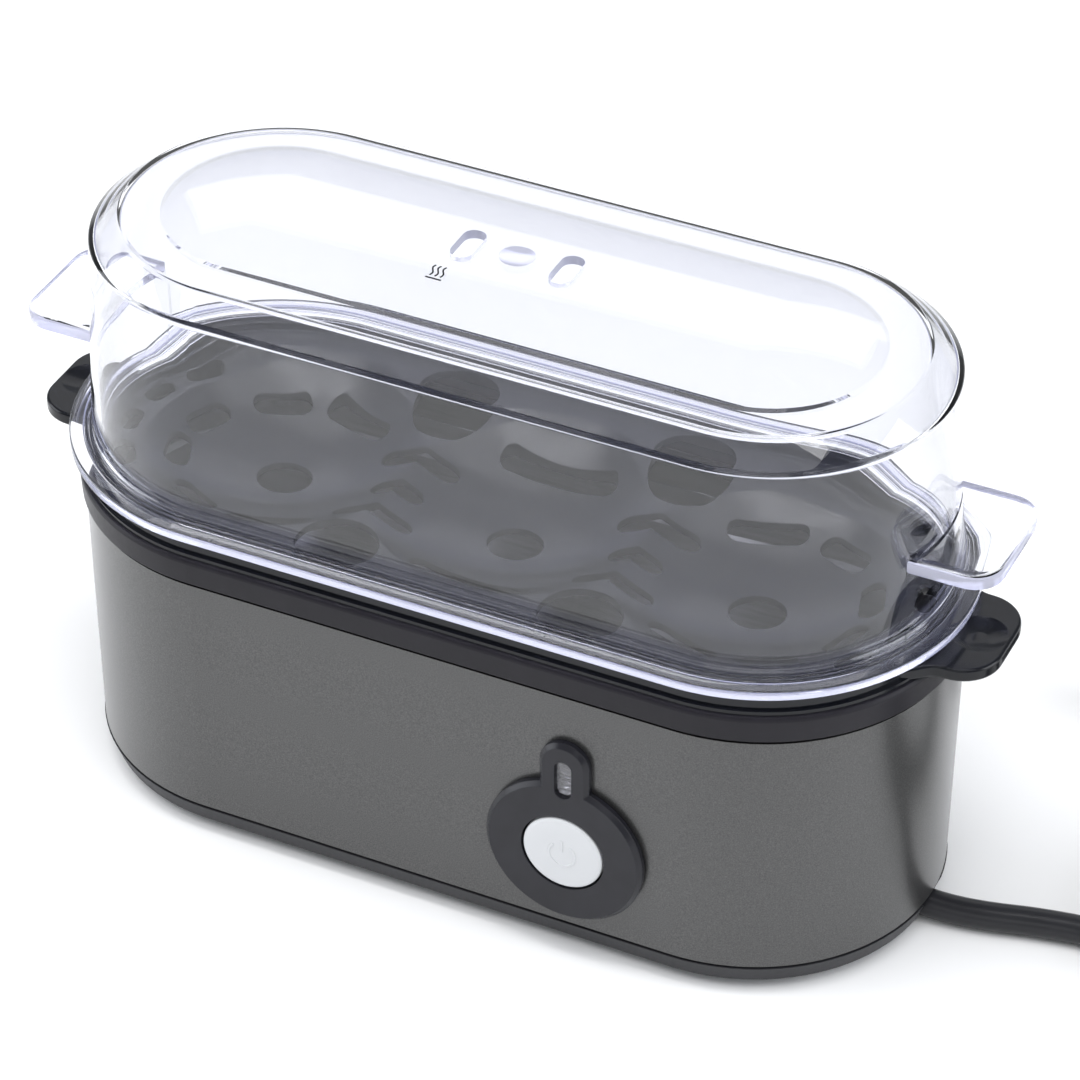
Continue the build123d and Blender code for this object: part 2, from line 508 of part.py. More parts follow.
SLOT_W = 5.2
SEAT_SLOTS = [(18, 12), (63, 13), (108, 17)]  # angle from outward, and length
MARGIN_HOLES = [(11, 5.5), (33, 6.5)]
def handle_outline(z):
    """The handle on the +X end: a rounded tongue that flares into the tray's rim."""
    low = [(HANDLE_ROOT_X - 2, -HANDLE_ROOT_HALF), (HANDLE_ROOT_X, -HANDLE_ROOT_HALF),
           (HANDLE_NECK_X, -HANDLE_HALF), (HANDLE_X, -HANDLE_HALF)]
    with BuildSketch(Plane.XY.offset(z)) as outline:
        with BuildLine():
            Polyline(low + [(x, -y) for x, y in reversed(low)], close=True)
        make_face()
        fillet(outline.vertices().sort_by(Axis.X)[-2:], HANDLE_CORNER)
        fillet(outline.vertices().sort_by(Axis.X)[4:6], HANDLE_FLARE)
    return outline.sketch


with BuildPart() as egg_tray:
    plate(TRAY_WALL_R - 1, TRAY_FLOOR_TOP - TRAY_FLOOR_T, TRAY_FLOOR_TOP)
    ring([(TRAY_SKIRT_R, TRAY_SKIRT_LOW), (TRAY_SKIRT_R + 1, TRAY_SKIRT_LOW),
          (TRAY_SKIRT_R + 1, TRAY_FLANGE_LOW), (TRAY_FLANGE_R, TRAY_FLANGE_LOW),
          (TRAY_FLANGE_R, TRAY_FLANGE_TOP), (TRAY_WALL_R, TRAY_FLANGE_TOP), (TRAY_WALL_R, TRAY_WALL_TOP),
          (TRAY_WALL_R - TRAY_WALL_T, TRAY_WALL_TOP), (TRAY_WALL_R - TRAY_WALL_T, TRAY_FLOOR_TOP),
          (TRAY_SKIRT_R, TRAY_FLOOR_TOP)])
    for side in (-1, 1):
        handle = handle_outline(HANDLE_LOW)
        turned = handle if side > 0 else handle.rotate(Axis.Z, 180)
        tongue = extrude(turned, amount=HANDLE_TOP - HANDLE_LOW, mode=Mode.PRIVATE).solids()[0]
        rims = tongue.faces().filter_by(Axis.Z).edges().filter_by(lambda e: abs(e.center().X) > HANDLE_NECK_X)
        add(tongue.fillet(HANDLE_EDGE, rims))
        finger_hollow(side * 101.5, HANDLE_TOP, 16, 1.1)
    # the three bowls hang below the floor
    bowl_low = TRAY_FLOOR_TOP - TRAY_FLOOR_T
    for x in (-END, 0, END):
        outer = Pos(x, 0, SEAT_CENTRE_Z) * Sphere(SEAT_SPHERE_R + SEAT_T, mode=Mode.PRIVATE)
        cap = outer & (Pos(x, 0, bowl_low - 14.5) * Box(90, 90, 30, mode=Mode.PRIVATE))
        add(cap)
    for x in (-END, 0, END):
        with Locations((x, 0, SEAT_CENTRE_Z)):
            Sphere(SEAT_SPHERE_R, mode=Mode.SUBTRACT)
    low, high = 60, TRAY_FLOOR_TOP + 1
    for x in (-END, 0, END):
        rod((x, 0, low), (x, 0, high), 6.0, mode=Mode.SUBTRACT)
    for side in (-1, 1):
        slot(0, side * 22.4, 27, SLOT_W, 0, low, high)
        for x in (-27.3, 27.3):
            slot(x, side * 11.6, 18, SLOT_W, 0, low, high)
            rod((x, side * 27.5, low), (x, side * 27.5, high), 8.8, mode=Mode.SUBTRACT)
        for end in (-1, 1):
            for angle, length in SEAT_SLOTS:
                x = end * (END + 23 * cos(radians(angle)))
                y = side * 23 * sin(radians(angle))
                slot(x, y, length, SLOT_W, end * side * (angle - 90), low, high)
            for angle, size in MARGIN_HOLES:
                x = end * (END + 34 * cos(radians(angle)))
                y = side * 34 * sin(radians(angle))
                slot(x, y, size + 3, size - 1.5, end * side * (angle - 90), low, high)
    for x in (-27.3, 27.3):
        slot(x, 0, 12, SLOT_W, 0, low, high)
save(egg_tray, "egg_tray")


# ---- clear lid ----------------------------------------------------------------------------------------
def lid_profile(inset):
    """The lid's outer profile moved inwards by a wall thickness: wall, shoulder, ridge, panel."""
    drop = inset * 0.8
    return [(LID_SHOULDER_R - inset, LID_SHOULDER_Z - drop), (LID_RIDGE_R - inset * 0.4, LID_RIDGE_Z - inset),
            (LID_PANEL_R, LID_PANEL_Z - inset)]


def crowned(radius, rise, height, steps=10):
    """Points of an arc over the panel, from its edge to the middle line, flat at the middle."""
    arc_r = (radius**2 + rise**2) / (2 * rise)
    full = degrees(atan2(radius, arc_r - rise))
    points = []
    for step in range(1, steps + 1):
        turn = radians(full * (1 - step / steps))
        points.append((max(0.0, arc_r * sin(turn)), height - arc_r * (1 - cos(turn))))
    return points


with BuildPart() as lid:
    inner_top = crowned(LID_PANEL_R, LID_TOP - LID_PANEL_Z, LID_TOP - LID_T)
    wall_outer = [(LID_RIB_R, LID_FLANGE_LOW), (LID_FLANGE_R, LID_FLANGE_LOW),
                  (LID_FLANGE_R, LID_FLANGE_TOP - 0.7), (LID_FLANGE_R - 0.7, LID_FLANGE_TOP),
                  (LID_WALL_R + 0.6, LID_FLANGE_TOP), (LID_WALL_R - 0.03, LID_FLANGE_TOP + 0.7)]
    ring([(LID_WALL_R - LID_T, LID_RIB_LOW), (LID_RIB_R, LID_RIB_LOW)] + wall_outer + lid_profile(0)
         + crowned(LID_PANEL_R, LID_TOP - LID_PANEL_Z, LID_TOP) + list(reversed(inner_top))
         + list(reversed(lid_profile(LID_T))))
    for side in (-1, 1):
        tab = tab_outline(TAB_X, TAB_HALF, TAB_CORNER, END + LID_WALL_R - 6.5, TAB_TOP - TAB_T)
        turned = tab if side > 0 else tab.rotate(Axis.Z, 180)
        extrude(turned, amount=TAB_T)
        finger_hollow(side * 101.5, TAB_TOP, 20, 0.8)
    # the tabs' roots are cut back flush with the inside of the wall
    inner_r_at_tab = LID_WALL_R - LID_T - 2.0 * (TAB_TOP - LID_FLANGE_TOP) / (LID_SHOULDER_Z - LID_FLANGE_TOP)
    plate(inner_r_at_tab, TAB_TOP - TAB_T - 3, TAB_TOP + 3, mode=Mode.SUBTRACT)
    for x in (-VENT_X, VENT_X):
        slot(x, 0, VENT_L, VENT_W, 90, LID_TOP - 8, LID_TOP + 1)
    with Locations((0, 0, LID_TOP + 5.6)):
        Sphere(6.6, mode=Mode.SUBTRACT)
save(lid, "lid")

# ---- free cord ----------------------------------------------------------------------------------------
COIL_X, COIL_Y = 169.8, 29.7
TURN_R_OUT, TURN_R_IN = 37.2, 31.0
LAYER_Z = CORD_Z + CORD_D  # centre line of the coil's upper layer
CORD_ROUTE = [(GLAND_OUT, 0, GLAND_Z), (71, 0, GLAND_Z), (80.5, 0.1, 6.3), (90, 0, 4.2), (98.3, 0.2, CORD_Z),
              (107.5, 1.6, CORD_Z), (118, 4.6, CORD_Z), (131.5, 6.8, CORD_Z), (145.1, 1, CORD_Z),
              (157.3, -6, CORD_Z)]
with BuildPart() as power_cord:
    cord_length, cord_radii = tube(CORD_ROUTE, CORD_R)
save(power_cord, "power_cord")
print("power_cord", round(cord_length, 1), "mm, radii", [round(r, 1) for r in cord_radii])
print("power_cord volume / section x length", power_cord.part.volume / (pi * CORD_R**2 * cord_length))

with BuildPart() as cord_coil:
    with BuildSketch(Plane.XY.offset(CORD_Z - CORD_R)) as coil_outline:
        with Locations((COIL_X, COIL_Y)):
            Circle(TURN_R_OUT + CORD_R)
            Circle(TURN_R_IN - CORD_R, mode=Mode.SUBTRACT)
    extrude(amount=2 * CORD_D)
save(cord_coil, "cord_coil")

TIE_T, TIE_UNDER, TIE_ANGLE, TIE_HALF = 0.9, 0.2, 100.0, 4.0
with BuildPart() as cord_tie:
    outward = (cos(radians(TIE_ANGLE)), sin(radians(TIE_ANGLE)), 0)
    band = Plane(origin=(COIL_X, COIL_Y, 0), x_dir=outward, z_dir=(outward[1], -outward[0], 0))
    tie_in, tie_out = TURN_R_IN - CORD_R - 0.4, TURN_R_OUT + CORD_R + 0.4
    tie_top = CORD_Z - CORD_R + 2 * CORD_D + 0.1
    with BuildSketch(band) as strap:
        with Locations(((tie_in + tie_out) / 2, (tie_top + TIE_T) / 2)):
            Rectangle(tie_out - tie_in + 2 * TIE_T, tie_top + TIE_T)
        with Locations(((tie_in + tie_out) / 2, (tie_top + TIE_UNDER) / 2)):
            Rectangle(tie_out - tie_in, tie_top - TIE_UNDER, mode=Mode.SUBTRACT)
    extrude(strap.sketch, amount=TIE_HALF, both=True)
save(cord_tie, "cord_tie")

# the plug lies on its side behind the coil, tipped down towards the cord
PLUG_TILT, PLUG_R = 12.5, 16.0
PLUG_START = (163.7, 86.8, 8.1)  # the end face of its boot
TAIL_ROUTE = [(COIL_X + TURN_R_OUT, COIL_Y, LAYER_Z), (COIL_X + TURN_R_OUT, 45, LAYER_Z - 0.5),
              (COIL_X + TURN_R_OUT, 61.2, 4.6), (197.6, 77.4, CORD_Z), (181.3, 86.8, 4.2), PLUG_START]
with BuildPart() as cord_tail:
    tail_length, tail_radii = tube(TAIL_ROUTE, CORD_R)
save(cord_tail, "cord_tail")
print("cord_tail", round(tail_length, 1), "mm, radii", [round(r, 1) for r in tail_radii])

plug_forward = (-cos(radians(PLUG_TILT)), 0, sin(radians(PLUG_TILT)))
plug_plane = Plane(origin=PLUG_START, x_dir=(0, 1, 0), z_dir=plug_forward)
PLUG_PROFILE = [(0, 0), (3.8, 0), (5.2, 17), (7.5, 18), (PLUG_R, 36), (PLUG_R, 45), (PLUG_R - 1, 46), (0, 46)]
PIN_R, PIN_SPACING, PIN_LEN, CLIP_HALF = 2.4, 9.5, 19.0, 2.6
with BuildPart(plug_plane) as plug_body:
    with BuildSketch(Plane(origin=plug_plane.origin, x_dir=plug_plane.x_dir, z_dir=-plug_plane.y_dir)) as half:
        with BuildLine():
            Polyline(PLUG_PROFILE, close=True)
        make_face()
    revolve(half.sketch, Axis(plug_plane.origin, plug_plane.z_dir), 360)
    for side in (-1, 1):
        with BuildSketch(plug_plane.offset(37)) as clip_slot:
            with Locations((0, side * (PLUG_R - 1))):
                Rectangle(2 * CLIP_HALF + 0.2, 2.2)
        extrude(clip_slot.sketch, amount=20, mode=Mode.SUBTRACT)
save(plug_body, "plug_body")

with BuildPart() as plug_pins:
    with BuildSketch(plug_plane.offset(46)) as pins:
        with Locations((-PIN_SPACING, 0), (PIN_SPACING, 0)):
            Circle(PIN_R)
    extrude(pins.sketch, amount=PIN_LEN)
    chamfer(plug_pins.edges().group_by(Axis(plug_plane.origin, plug_plane.z_dir))[-1], 1.0)
save(plug_pins, "plug_pins")

with BuildPart() as plug_clips:
    for side in (-1, 1):
        with BuildSketch(plug_plane.offset(37.1)) as clip:
            with Locations((0, side * (PLUG_R - 1.5))):
                Rectangle(2 * CLIP_HALF, 1.0)
        extrude(clip.sketch, amount=8.8)
save(plug_clips, "plug_clips")
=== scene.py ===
"""Looks for the three-egg steam cooker: a grey metal body, a slotted tray, a clear lid and a cord."""

import json
import math

import bmesh
import bpy
from mathutils import Matrix, Vector


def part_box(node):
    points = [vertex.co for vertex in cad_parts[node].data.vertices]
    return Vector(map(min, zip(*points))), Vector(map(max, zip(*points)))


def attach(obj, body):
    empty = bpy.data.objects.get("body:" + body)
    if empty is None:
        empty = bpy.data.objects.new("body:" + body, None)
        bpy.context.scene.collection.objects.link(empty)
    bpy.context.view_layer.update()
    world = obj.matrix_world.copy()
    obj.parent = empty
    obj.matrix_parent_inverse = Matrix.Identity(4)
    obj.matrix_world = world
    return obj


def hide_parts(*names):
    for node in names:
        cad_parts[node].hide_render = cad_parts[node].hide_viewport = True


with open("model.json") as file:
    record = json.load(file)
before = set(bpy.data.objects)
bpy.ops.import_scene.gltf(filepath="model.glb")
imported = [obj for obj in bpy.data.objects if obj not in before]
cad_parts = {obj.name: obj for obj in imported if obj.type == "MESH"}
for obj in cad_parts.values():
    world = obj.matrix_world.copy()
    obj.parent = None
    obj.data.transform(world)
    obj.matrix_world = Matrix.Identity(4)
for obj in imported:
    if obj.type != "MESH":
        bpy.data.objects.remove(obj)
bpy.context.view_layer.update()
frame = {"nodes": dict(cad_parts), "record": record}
NODES = frame["nodes"]
MM = 0.001

# ---- sizes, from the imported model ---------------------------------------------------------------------
button_low, button_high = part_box("power_button")
window_low, window_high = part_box("lamp_window")
BUTTON = Vector(((button_low.x + button_high.x) / 2, button_low.y, (button_low.z + button_high.z) / 2))


# ---- camera -------------------------------------------------------------------------------------------
def add_camera():
    """A long lens from the front right, above the lid."""
    azimuth, elevation, roll = (math.radians(a) for a in (25.35, 37.12, 0.11))
    aim = Vector((-32.4, 79.1, 3.0)) * MM
    back = Vector((math.cos(elevation) * math.sin(azimuth), -math.cos(elevation) * math.cos(azimuth),
                   math.sin(elevation)))
    right = Vector((math.cos(azimuth), math.sin(azimuth), 0))
    up = back.cross(right)
    tilted_right = math.cos(roll) * right + math.sin(roll) * up
    tilted_up = math.cos(roll) * up - math.sin(roll) * right
    data = bpy.data.cameras.new("camera")
    data.lens, data.sensor_width = 148.38, 36.0
    data.clip_start, data.clip_end = 0.05, 20.0
    camera = bpy.data.objects.new("camera", data)
    turn = Matrix((tilted_right, tilted_up, back)).transposed()
    camera.matrix_world = Matrix.Translation(aim + 1.0292 * back) @ turn.to_4x4()
    bpy.context.scene.collection.objects.link(camera)
    bpy.context.scene.camera = camera


add_camera()


# ---- material helpers ---------------------------------------------------------------------------------
def new_material(name):
    """A new node material, with its nodes, its links and its Principled shader."""
    material = bpy.data.materials.new(name)
    material.use_nodes = True
    tree = material.node_tree
    return material, tree.nodes, tree.links, tree.nodes["Principled BSDF"]


def noise(nodes, links, scale, detail=4.0, stretch=None, roughness=0.55):
    """A noise that travels with its piece; stretch draws it out along one axis, as on brushed metal."""
    texture = nodes.new("ShaderNodeTexNoise")
    texture.inputs["Scale"].default_value = scale
    texture.inputs["Detail"].default_value = detail
    texture.inputs["Roughness"].default_value = roughness
    source = nodes.new("ShaderNodeTexCoord").outputs["Object"]
    if stretch:
        mapping = nodes.new("ShaderNodeMapping")
        mapping.inputs["Scale"].default_value = stretch
        links.new(source, mapping.inputs["Vector"])
        source = mapping.outputs["Vector"]
    links.new(source, texture.inputs["Vector"])
    return texture.outputs["Fac"]


def ramp(nodes, links, factor, stops):
    """A colour ramp with (position, colour) stops."""
    node = nodes.new("ShaderNodeValToRGB")
    elements = node.color_ramp.elements
    while len(elements) < len(stops):
        elements.new(0.5)
    for element, (position, colour) in zip(elements, stops):
        element.position = position
        element.color = (*colour, 1)
    links.new(factor, node.inputs["Fac"])
    return node.outputs["Color"]


def to_range(nodes, links, factor, low, high):
    """Carry a factor from 0 to 1 over to another range."""
    node = nodes.new("ShaderNodeMapRange")
    node.inputs["To Min"].default_value = low
    node.inputs["To Max"].default_value = high
    links.new(factor, node.inputs["Value"])
    return node.outputs["Result"]


def soft_edges(nodes, radius):
    """A normal that rounds sharp edges by a small radius."""
    node = nodes.new("ShaderNodeBevel")
    node.samples = 4
    node.inputs["Radius"].default_value = radius
    return node.outputs["Normal"]


def bump(nodes, links, height, strength, distance, normal=None):
    """A bump from a height, over an optional normal."""
    node = nodes.new("ShaderNodeBump")
    node.inputs["Strength"].default_value = strength
    node.inputs["Distance"].default_value = distance
    links.new(height, node.inputs["Height"])
    if normal is not None:
        links.new(normal, node.inputs["Normal"])
    return node.outputs["Normal"]


def mixed(colour, factor):
    """A colour made lighter or darker."""
    return tuple(min(1.0, c * factor) for c in colour)


def moulded(name, colour, rough, grain=900.0, depth=0.02, spread=0.12, edge=0.0003, specular=0.5):
    """Moulded plastic, rubber or ceramic: slight mottling, a fine grain and softened edges."""
    material, nodes, links, shader = new_material(name)
    mottle = noise(nodes, links, grain / 6)
    stops = [(0.3, mixed(colour, 1 - spread)), (0.7, mixed(colour, 1 + spread))]
    links.new(ramp(nodes, links, mottle, stops), shader.inputs["Base Color"])
    if depth:
        fine = noise(nodes, links, grain)
        links.new(to_range(nodes, links, fine, rough * 0.85, rough * 1.15), shader.inputs["Roughness"])
        links.new(bump(nodes, links, fine, depth, 0.0004, soft_edges(nodes, edge) if edge else None),
                  shader.inputs["Normal"])
    else:
        shader.inputs["Roughness"].default_value = rough
    shader.inputs["Specular IOR Level"].default_value = specular
    return material


def metal(name, colour, rough, stretch=(1, 1, 1), scale=900.0, depth=0.06):
    """Bare metal with fine brushing or rolling marks."""
    material, nodes, links, shader = new_material(name)
    marks = noise(nodes, links, scale, detail=3.0, stretch=stretch)
    links.new(ramp(nodes, links, marks, [(0.3, mixed(colour, 0.85)), (0.7, mixed(colour, 1.1))]),
              shader.inputs["Base Color"])
    links.new(to_range(nodes, links, marks, rough * 0.7, rough * 1.3), shader.inputs["Roughness"])
    links.new(bump(nodes, links, marks, depth, 0.0002, soft_edges(nodes, 0.0002)), shader.inputs["Normal"])
    shader.inputs["Metallic"].default_value = 1.0
    return material


def sleeve_paint():
    """Dark warm-grey metallic paint: fine bright and dark flakes over a satin coat."""
    material, nodes, links, shader = new_material("sleeve_paint")
    flake = noise(nodes, links, 3800.0, detail=2.0, roughness=0.7)
    colour = ramp(nodes, links, flake, [(0.33, (0.036, 0.0355, 0.035)), (0.5, (0.055, 0.0545, 0.054)),
                                        (0.67, (0.084, 0.083, 0.081))])
    links.new(colour, shader.inputs["Base Color"])
    links.new(to_range(nodes, links, flake, 0.3, 0.42), shader.inputs["Roughness"])
    links.new(bump(nodes, links, flake, 0.05, 0.0001), shader.inputs["Normal"])
    shader.inputs["Metallic"].default_value = 0.6
    shader.inputs["Specular IOR Level"].default_value = 0.45
    shader.inputs["Coat Weight"].default_value = 0.7
    shader.inputs["Coat Roughness"].default_value = 0.22
    return material


def clear_plastic(name, tint, rough=0.0, depth=0.0, milky=0.0):
    """Clear plastic whose shadow lets the light through; depth adds faint moulding ripples."""
    material, nodes, links, shader = new_material(name)
    shader.inputs["Base Color"].default_value = (*tint, 1)
    shader.inputs["Transmission Weight"].default_value = 1.0 - milky
    shader.inputs["Roughness"].default_value = rough
    shader.inputs["IOR"].default_value = 1.5
    if depth:
        links.new(bump(nodes, links, noise(nodes, links, 35.0, detail=1.0), depth, 0.0006),
                  shader.inputs["Normal"])
    clear = nodes.new("ShaderNodeBsdfTransparent")
    clear.inputs["Color"].default_value = (0.93, 0.93, 0.95, 1)
    path = nodes.new("ShaderNodeLightPath")
    mix = nodes.new("ShaderNodeMixShader")
    links.new(path.outputs["Is Shadow Ray"], mix.inputs["Fac"])
    links.new(shader.outputs["BSDF"], mix.inputs[1])
    links.new(clear.outputs["BSDF"], mix.inputs[2])
    links.new(mix.outputs["Shader"], nodes["Material Output"].inputs["Surface"])
    return material


MATERIALS = {
    "base_plastic": moulded("base_plastic", (0.018, 0.018, 0.021), 0.45, depth=0.04, specular=0.3),
    "feet_rubber": moulded("feet_rubber", (0.03, 0.03, 0.03), 0.75, depth=0.08),
    "screw_steel": metal("screw_steel", (0.6, 0.6, 0.57), 0.3),
    "sleeve_paint": sleeve_paint(),
    "collar_plastic": moulded("collar_plastic", (0.0095, 0.0085, 0.012), 0.38, depth=0.03, specular=0.22),
    "seal_silicone": moulded("seal_silicone", (0.72, 0.71, 0.67), 0.6),
    # The heating dish's steel is given a dark colour, so the tray's slots over it read dark.
    "dish_steel": metal("dish_steel", (0.2, 0.2, 0.21), 0.38, stretch=(0.04, 1, 1)),
    "spreader_aluminium": metal("spreader_aluminium", (0.75, 0.75, 0.76), 0.35, stretch=(1, 0.05, 1)),
    "element_steel": metal("element_steel", (0.42, 0.38, 0.33), 0.4),
    "terminal_steel": metal("terminal_steel", (0.65, 0.65, 0.62), 0.3),
    "ceramic": moulded("ceramic", (0.82, 0.81, 0.77), 0.7, depth=0.08),
    "bracket_steel": metal("bracket_steel", (0.6, 0.6, 0.57), 0.35, stretch=(1, 0.08, 1)),
    "thermostat_body": moulded("thermostat_body", (0.08, 0.05, 0.035), 0.3),
    "fuse_sleeve": moulded("fuse_sleeve", (0.78, 0.76, 0.68), 0.8, grain=2600, depth=0.3),
    "bezel_plastic": moulded("bezel_plastic", (0.014, 0.014, 0.018), 0.25, depth=0.015, specular=0.28),
    "window_clear": clear_plastic("window_clear", (0.7, 0.7, 0.72), rough=0.08, milky=0.22),
    "button_white": moulded("button_white", (0.6, 0.61, 0.625), 0.25, spread=0.01, depth=0.004, edge=0),
    "inner_plastic": moulded("inner_plastic", (0.1, 0.1, 0.1), 0.5),
    "spring_steel": metal("spring_steel", (0.55, 0.55, 0.55), 0.2),
    "plunger_plastic": moulded("plunger_plastic", (0.72, 0.71, 0.67), 0.4),
    "lamp_glass": clear_plastic("lamp_glass", (0.98, 0.9, 0.85)),
    "terminal_plastic": moulded("terminal_plastic", (0.7, 0.7, 0.68), 0.35),
    "cord_rubber": moulded("cord_rubber", (0.014, 0.014, 0.017), 0.33, depth=0.03, specular=0.4, edge=0),
    "wire_brown": moulded("wire_brown", (0.2, 0.08, 0.03), 0.35),
    "wire_blue": moulded("wire_blue", (0.05, 0.15, 0.5), 0.35),
    "wire_green": moulded("wire_green", (0.2, 0.5, 0.08), 0.35),
    "wire_white": moulded("wire_white", (0.7, 0.7, 0.7), 0.35),
    "tray_plastic": moulded("tray_plastic", (0.005, 0.0055, 0.0075), 0.16, grain=500, depth=0,
                            specular=0.3),
    "lid_clear": clear_plastic("lid_clear", (0.92, 0.923, 0.947), depth=0.02),
    # The lid's edge material is milky, violet clear plastic: a painted highlight for the light that clear
    # edges catch.
    "lid_edge_painted_highlight": clear_plastic("lid_edge_painted_highlight", (0.74, 0.745, 0.9), rough=0.15, milky=0.5),
    "mark_ink": moulded("mark_ink", (0.008, 0.007, 0.008), 0.7, grain=3000, specular=0.1, edge=0),
    "tie_plastic": moulded("tie_plastic", (0.05, 0.05, 0.05), 0.45),
    "plug_rubber": moulded("plug_rubber", (0.026, 0.026, 0.029), 0.42, depth=0.06),
    "plug_metal": metal("plug_metal", (0.76, 0.75, 0.71), 0.15),
}


def dress_cad_nodes():
    """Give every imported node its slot's material and smooth shading across its curved faces."""
    for entry in frame["record"]["subparts"]:
        node = NODES[entry["node"]]
        node.data.materials.clear()
        node.data.materials.append(MATERIALS[entry["material_slot"]])
        smooth(node)


def smooth(piece, angle=28.0):
    """Shade curved faces smooth and keep edges sharper than the angle."""
    bpy.ops.object.select_all(action="DESELECT")
    piece.select_set(True)
    bpy.context.view_layer.objects.active = piece
    bpy.ops.object.shade_smooth_by_angle(angle=math.radians(angle))


dress_cad_nodes()


# ---- cord ---------------------------------------------------------------------------------------------
CORD_D = 6.2 * MM
CORD_Z = 3.4
COIL = Vector((169.8, 29.7))
TURN_R_OUT, LAYER = 37.2, 6.2
ROUTE = [(62, 0, 8.6), (71, 0, 8.6), (80.5, 0.1, 6.3), (90, 0, 4.2), (98.3, 0.2, CORD_Z),
         (107.5, 1.6, CORD_Z), (118, 4.6, CORD_Z), (131.5, 6.8, CORD_Z), (145.1, 1, CORD_Z)]
TAIL = [(207, 45, 9.1), (207, 61.2, 4.6), (197.6, 77.4, CORD_Z), (181.3, 86.8, 4.2), (163.7, 86.8, 8.1)]
COIL_START, COIL_END = 255.0, 1440.0  # degrees round the coil, anticlockwise
POINTS_PER_TURN = 16


def eased(value, low, high):
    """0 below low, 1 above high, smooth between."""
    t = min(1.0, max(0.0, (value - low) / (high - low)))
    return t * t * (3 - 2 * t)


def coil_points():
    """One outer turn and one inner turn on the table, then an upper turn that works its way out."""
    points = []
    steps = round((COIL_END - COIL_START) / 360 * POINTS_PER_TURN)
    overshoot = 1 / math.cos(math.pi / POINTS_PER_TURN) ** 0.5
    for step in range(steps + 1):
        turned = COIL_START + (COIL_END - COIL_START) * step / steps
        radius = TURN_R_OUT - LAYER * eased(turned, 540, 620) + LAYER * eased(turned, 1080, 1300)
        height = CORD_Z + LAYER * eased(turned, 900, 985)
        angle = math.radians(turned)
        points.append((COIL.x + overshoot * radius * math.cos(angle),
                       COIL.y + overshoot * radius * math.sin(angle), height))
    return points


def add_cord():
    """The whole free cord as one open spline, from the gland to the plug."""
    data = bpy.data.curves.new("power_cord_run", "CURVE")
    data.dimensions = "3D"
    data.bevel_depth = CORD_D / 2
    data.bevel_resolution = 8
    data.resolution_u = 10
    data.use_fill_caps = True
    points = ROUTE + coil_points() + TAIL
    spline = data.splines.new("NURBS")
    spline.points.add(len(points) - 1)
    for point, place in zip(spline.points, points):
        point.co = (*(MM * c for c in place), 1)
    spline.order_u = 3
    spline.use_endpoint_u = True
    cord = bpy.data.objects.new("power_cord_run", data)
    bpy.context.scene.collection.objects.link(cord)
    data.materials.append(MATERIALS["cord_rubber"])
    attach(cord, "base")
    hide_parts("power_cord", "cord_coil", "cord_tail")


add_cord()


# ---- mesh helpers -------------------------------------------------------------------------------------
END_X = 54  # the middle of each rounded end of the lid


def add_piece(name, bm, material, body, replaces=(), angle=28.0):
    """Make an object of a finished bmesh, shade it, parent it to its body's empty and hide the parts it
    replaces.
    """
    bmesh.ops.recalc_face_normals(bm, faces=bm.faces)
    data = bpy.data.meshes.new(name)
    bm.to_mesh(data)
    bm.free()
    data.materials.append(MATERIALS[material])
    piece = bpy.data.objects.new(name, data)
    bpy.context.scene.collection.objects.link(piece)
    smooth(piece, angle)
    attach(piece, body)
    if replaces:
        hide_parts(*replaces)
    return piece


def rounded(corners):
    """A polyline through (a, b, radius) corners, each with an arc where its radius isn't 0."""
    points = []
    for index, (a, b, radius) in enumerate(corners):
        here = Vector((a, b))
        if not radius:
            points.append((a, b))
            continue
        before = (Vector(corners[index - 1][:2]) - here).normalized()
        after = (Vector(corners[(index + 1) % len(corners)][:2]) - here).normalized()
        half = before.angle(after) / 2
        reach = radius / math.tan(half)
        centre = here + (before + after).normalized() * radius / math.sin(half)
        first, last = here + before * reach - centre, here + after * reach - centre
        sweep = first.angle_signed(last)
        steps = max(3, round(abs(sweep) / math.radians(15)))
        for step in range(steps + 1):
            turn = -sweep * step / steps
            points.append((centre.x + first.x * math.cos(turn) - first.y * math.sin(turn),
                           centre.y + first.x * math.sin(turn) + first.y * math.cos(turn)))
    return points


def loft(bm, loops):
    """Quads between closed loops of the same number of points; returns the loops' vertices."""
    rows = [[bm.verts.new(p) for p in loop] for loop in loops]
    for low, high in zip(rows, rows[1:]):
        for i in range(len(low)):
            j = (i + 1) % len(low)
            bm.faces.new((low[i], low[j], high[j], high[i]))
    return rows


def capped_loft(bm, loops):
    """A loft closed by a face at each end."""
    rows = loft(bm, loops)
    bm.faces.new(rows[0])
    bm.faces.new(rows[-1])


def tidy_up(bm):
    """Merge the points that fall together, as at the middle line of a closed top."""
    distance = 1e-6
    bmesh.ops.remove_doubles(bm, verts=bm.verts, dist=distance)
    bmesh.ops.dissolve_degenerate(bm, edges=bm.edges, dist=distance)


def obround_loop(radius, z, per_end=64):
    """Points round the obround at one radius and height, in millimetres."""
    loop = []
    for end in (1, -1):
        for step in range(per_end + 1):
            angle = math.radians(-90 * end + 180 * step / per_end)
            x, y = end * END_X + radius * math.cos(angle), radius * math.sin(angle)
            loop.append((MM * x, MM * y, MM * z))
    return loop


def solid_prism(outline, low, high):
    """A closed prism over an (x, y) outline in millimetres."""
    bm = bmesh.new()
    capped_loft(bm, [[(MM * x, MM * y, MM * z) for x, y in outline] for z in (low, high)])
    return bm


